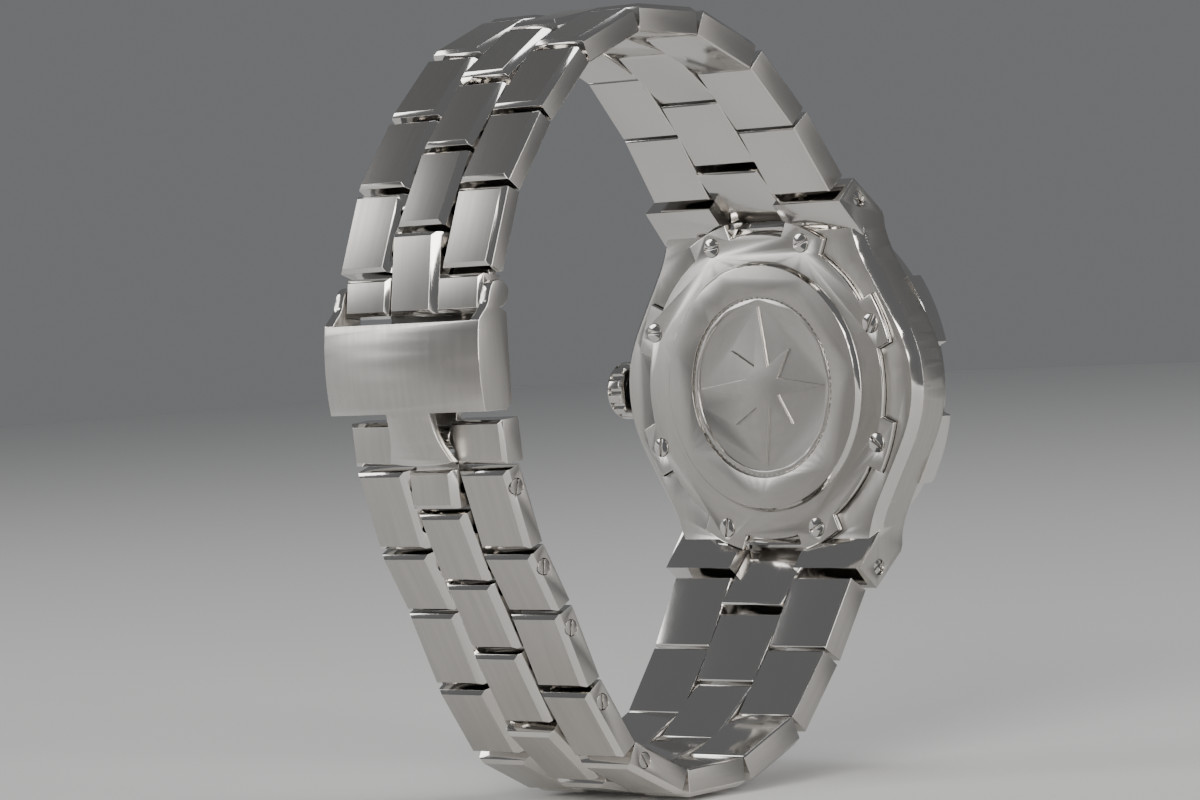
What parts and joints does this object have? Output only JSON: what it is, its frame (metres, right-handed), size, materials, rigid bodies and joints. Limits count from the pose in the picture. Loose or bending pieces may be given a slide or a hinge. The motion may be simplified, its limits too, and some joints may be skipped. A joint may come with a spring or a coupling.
{
  "type": "wristwatch",
  "caption": "steel sports wristwatch with lobed bezel, screwed case back, integrated three-row link bracelet and folding clasp",
  "frame": {"origin": "centre of the case back, on the outer face of its rim plate, where the watch lies on the wrist", "axes": "+Z to 12 o'clock, +X to 3 o'clock and the crown, +Y from the case into the wrist and on to the clasp; the dial faces -Y"},
  "size_m": [0.0418, 0.06, 0.0773],
  "materials": {
    "satin_steel": "fine lengthwise satin brushing with mirror-polished bevels and edges",
    "polished_steel": "mirror polish",
    "crystal": "clear sapphire with a polished chamfer",
    "dial_lacquer": "dark lacquered sunray brushing",
    "rhodium_plate": "bright rhodium plating",
    "movement_plate": "plated brass with circular graining",
    "rubber": "black O-ring rubber"
  },
  "bodies": {
    "case": {"case_middle": "satin_steel", "case_back": "satin_steel", "case_back_screws": "polished_steel", "case_back_gasket": "rubber", "bezel": "satin_steel", "lug_screws": "polished_steel", "crystal": "crystal", "crystal_gasket": "rubber", "dial": "dial_lacquer", "hour_markers": "rhodium_plate", "flange_ring": "satin_steel", "movement": "movement_plate", "crown_tube": "polished_steel"},
    "rotor": {"rotor": "movement_plate"},
    "hour_hand": {"hour_hand": "rhodium_plate"},
    "minute_hand": {"minute_hand": "rhodium_plate"},
    "second_hand": {"second_hand": "rhodium_plate"},
    "crown_slide": {"crown_gasket": "rubber"},
    "crown": {"crown": "satin_steel", "winding_stem": "polished_steel"},
    "upper_link_8": {"upper_outer_links_8": "satin_steel", "upper_centre_link_8": "satin_steel"},
    "upper_link_7": {"upper_outer_links_7": "satin_steel", "upper_centre_link_7": "satin_steel"},
    "upper_link_6": {"upper_outer_links_6": "satin_steel", "upper_centre_link_6": "satin_steel"},
    "upper_link_5": {"upper_outer_links_5": "satin_steel", "upper_centre_link_5": "satin_steel"},
    "upper_link_4": {"upper_outer_links_4": "satin_steel", "upper_centre_link_4": "satin_steel"},
    "upper_link_3": {"upper_outer_links_3": "satin_steel", "upper_centre_link_3": "satin_steel"},
    "upper_link_2": {"upper_outer_links_2": "satin_steel", "upper_centre_link_2": "satin_steel"},
    "upper_link_1": {"upper_outer_links_1": "satin_steel", "upper_centre_link_1": "satin_steel"},
    "upper_end_link": {"upper_end_link": "satin_steel"},
    "clasp_cover": {"clasp_cover": "satin_steel", "clasp_cover_pins": "polished_steel"},
    "clasp_middle_blade": {"clasp_middle_blade": "satin_steel"},
    "clasp_inner_blade": {"clasp_inner_blade": "satin_steel"},
    "lower_link_9": {"lower_outer_links_9": "satin_steel", "lower_centre_link_9": "satin_steel"},
    "lower_link_8": {"lower_outer_links_8": "satin_steel", "lower_centre_link_8": "satin_steel"},
    "lower_link_7": {"lower_outer_links_7": "satin_steel", "lower_centre_link_7": "satin_steel"},
    "lower_link_6": {"lower_outer_links_6": "satin_steel", "lower_centre_link_6": "satin_steel"},
    "lower_link_5": {"lower_outer_links_5": "satin_steel", "lower_centre_link_5": "satin_steel"},
    "lower_link_4": {"lower_outer_links_4": "satin_steel", "lower_centre_link_4": "satin_steel"},
    "lower_link_3": {"lower_outer_links_3": "satin_steel", "lower_centre_link_3": "satin_steel"},
    "lower_link_2": {"lower_outer_links_2": "satin_steel", "lower_centre_link_2": "satin_steel"},
    "lower_link_1": {"lower_outer_links_1": "satin_steel", "lower_centre_link_1": "satin_steel"},
    "lower_end_link": {"lower_end_link": "satin_steel"}
  },
  "joints": [
    {"name": "upper_lug_hinge", "type": "hinge", "parent": "case", "child": "upper_link_8", "pos_m": [0, -0.0011, 0.0185], "axis": [1, 0, 0], "range_deg": [0, 3.99]},
    {"name": "upper_link_7_hinge", "type": "hinge", "parent": "upper_link_8", "child": "upper_link_7", "pos_m": [0, 0.00438, 0.02495], "axis": [1, 0, 0], "range_deg": [0, 2.4]},
    {"name": "upper_link_6_hinge", "type": "hinge", "parent": "upper_link_7", "child": "upper_link_6", "pos_m": [0, 0.00982, 0.03122], "axis": [1, 0, 0], "range_deg": [0, 3.07]},
    {"name": "upper_link_5_hinge", "type": "hinge", "parent": "upper_link_6", "child": "upper_link_5", "pos_m": [0, 0.01693, 0.03541], "axis": [1, 0, 0], "range_deg": [0, 2.76]},
    {"name": "upper_link_4_hinge", "type": "hinge", "parent": "upper_link_5", "child": "upper_link_4", "pos_m": [0, 0.0251, 0.03664], "axis": [1, 0, 0], "range_deg": [0, 2.29]},
    {"name": "upper_link_3_hinge", "type": "hinge", "parent": "upper_link_4", "child": "upper_link_3", "pos_m": [0, 0.03304, 0.03441], "axis": [1, 0, 0], "range_deg": [0, 1.57]},
    {"name": "upper_link_2_hinge", "type": "hinge", "parent": "upper_link_3", "child": "upper_link_2", "pos_m": [0, 0.03951, 0.02927], "axis": [1, 0, 0], "range_deg": [-0.002, 0.346]},
    {"name": "upper_link_1_hinge", "type": "hinge", "parent": "upper_link_2", "child": "upper_link_1", "pos_m": [0, 0.04479, 0.02287], "axis": [1, 0, 0], "range_deg": [-0.036, 0.002]},
    {"name": "upper_end_link_hinge", "type": "hinge", "parent": "upper_link_1", "child": "upper_end_link", "pos_m": [0, 0.04834, 0.01539], "axis": [1, 0, 0], "range_deg": [-0.228, 0.002]},
    {"name": "clasp_cover_hinge", "type": "hinge", "parent": "upper_end_link", "child": "clasp_cover", "pos_m": [0, 0.04893, 0.01124], "axis": [1, 0, 0], "range_deg": [0, 17.84]},
    {"name": "clasp_middle_blade_hinge", "type": "hinge", "parent": "clasp_cover", "child": "clasp_middle_blade", "pos_m": [0, 0.04903, 0.00174], "axis": [1, 0, 0], "range_deg": [0, 97.09]},
    {"name": "clasp_inner_blade_hinge", "type": "hinge", "parent": "clasp_middle_blade", "child": "clasp_inner_blade", "pos_m": [0, 0.04193, 0.02214], "axis": [1, 0, 0], "range_deg": [-154.61, 0]},
    {"name": "lower_lug_hinge", "type": "hinge", "parent": "case", "child": "lower_link_9", "pos_m": [0, -0.0011, -0.0185], "axis": [1, 0, 0], "range_deg": [-4.48, 0]},
    {"name": "lower_link_8_hinge", "type": "hinge", "parent": "lower_link_9", "child": "lower_link_8", "pos_m": [0, 0.00422, -0.02505], "axis": [1, 0, 0], "range_deg": [-2.92, 0]},
    {"name": "lower_link_7_hinge", "type": "hinge", "parent": "lower_link_8", "child": "lower_link_7", "pos_m": [0, 0.0093, -0.03161], "axis": [1, 0, 0], "range_deg": [-4.12, 0]},
    {"name": "lower_link_6_hinge", "type": "hinge", "parent": "lower_link_7", "child": "lower_link_6", "pos_m": [0, 0.01641, -0.0358], "axis": [1, 0, 0], "range_deg": [-3.84, 0]},
    {"name": "lower_link_5_hinge", "type": "hinge", "parent": "lower_link_6", "child": "lower_link_5", "pos_m": [0, 0.0246, -0.03685], "axis": [1, 0, 0], "range_deg": [-3.55, 0]},
    {"name": "lower_link_4_hinge", "type": "hinge", "parent": "lower_link_5", "child": "lower_link_4", "pos_m": [0, 0.03238, -0.03414], "axis": [1, 0, 0], "range_deg": [-3.13, 0]},
    {"name": "lower_link_3_hinge", "type": "hinge", "parent": "lower_link_4", "child": "lower_link_3", "pos_m": [0, 0.03778, -0.02794], "axis": [1, 0, 0], "range_deg": [-1.57, 0]},
    {"name": "lower_link_2_hinge", "type": "hinge", "parent": "lower_link_3", "child": "lower_link_2", "pos_m": [0, 0.04153, -0.02054], "axis": [1, 0, 0], "range_deg": [-0.033, 0.002]},
    {"name": "lower_link_1_hinge", "type": "hinge", "parent": "lower_link_2", "child": "lower_link_1", "pos_m": [0, 0.04475, -0.0145], "axis": [1, 0, 0], "range_deg": [-0.041, 0.002]},
    {"name": "lower_end_link_hinge", "type": "hinge", "parent": "lower_link_1", "child": "lower_end_link", "pos_m": [0, 0.04775, -0.00677], "axis": [1, 0, 0], "range_deg": [-0.05, 0.002]},
    {"name": "rotor_spin", "type": "hinge", "parent": "case", "child": "rotor", "pos_m": [0, -0.00155, 0], "axis": [0, 1, 0], "continuous": true},
    {"name": "second_hand_turn", "type": "hinge", "parent": "case", "child": "second_hand", "pos_m": [0, -0.0061, 0], "axis": [0, 1, 0], "continuous": true},
    {"name": "minute_hand_turn", "type": "hinge", "parent": "case", "child": "minute_hand", "pos_m": [0, -0.0056, 0], "axis": [0, 1, 0], "continuous": true},
    {"name": "hour_hand_turn", "type": "hinge", "parent": "case", "child": "hour_hand", "pos_m": [0, -0.0051, 0], "axis": [0, 1, 0], "continuous": true},
    {"name": "crown_pull", "type": "slide", "parent": "case", "child": "crown_slide", "axis": [1, 0, 0], "range_m": [0, 0.0012]},
    {"name": "crown_turn", "type": "hinge", "parent": "crown_slide", "child": "crown", "pos_m": [0.02, -0.0032, 0], "axis": [1, 0, 0], "continuous": true}
  ],
  "couplings": [
    {"joint": "upper_link_7_hinge", "follows": "upper_lug_hinge", "ratio": 0.60105},
    {"joint": "upper_link_6_hinge", "follows": "upper_lug_hinge", "ratio": 0.7696},
    {"joint": "upper_link_5_hinge", "follows": "upper_lug_hinge", "ratio": 0.69211},
    {"joint": "upper_link_4_hinge", "follows": "upper_lug_hinge", "ratio": 0.5741},
    {"joint": "upper_link_3_hinge", "follows": "upper_lug_hinge", "ratio": 0.39338},
    {"joint": "upper_link_2_hinge", "follows": "upper_lug_hinge", "ratio": 0.08628},
    {"joint": "upper_link_1_hinge", "follows": "upper_lug_hinge", "ratio": -0.00846},
    {"joint": "upper_end_link_hinge", "follows": "upper_lug_hinge", "ratio": -0.0566},
    {"joint": "clasp_cover_hinge", "follows": "upper_lug_hinge", "ratio": 4.473},
    {"joint": "clasp_middle_blade_hinge", "follows": "upper_lug_hinge", "ratio": 24.344},
    {"joint": "clasp_inner_blade_hinge", "follows": "upper_lug_hinge", "ratio": -38.767},
    {"joint": "lower_lug_hinge", "follows": "upper_lug_hinge", "ratio": -1.1221},
    {"joint": "lower_link_8_hinge", "follows": "upper_lug_hinge", "ratio": -0.73055},
    {"joint": "lower_link_7_hinge", "follows": "upper_lug_hinge", "ratio": -1.0325},
    {"joint": "lower_link_6_hinge", "follows": "upper_lug_hinge", "ratio": -0.96342},
    {"joint": "lower_link_5_hinge", "follows": "upper_lug_hinge", "ratio": -0.88951},
    {"joint": "lower_link_4_hinge", "follows": "upper_lug_hinge", "ratio": -0.78569},
    {"joint": "lower_link_3_hinge", "follows": "upper_lug_hinge", "ratio": -0.39272},
    {"joint": "lower_link_2_hinge", "follows": "upper_lug_hinge", "ratio": -0.00771},
    {"joint": "lower_link_1_hinge", "follows": "upper_lug_hinge", "ratio": -0.00966},
    {"joint": "lower_end_link_hinge", "follows": "upper_lug_hinge", "ratio": -0.0121},
    {"joint": "minute_hand_turn", "follows": "second_hand_turn", "ratio": 0.016667},
    {"joint": "hour_hand_turn", "follows": "second_hand_turn", "ratio": 0.0013889}
  ]
}
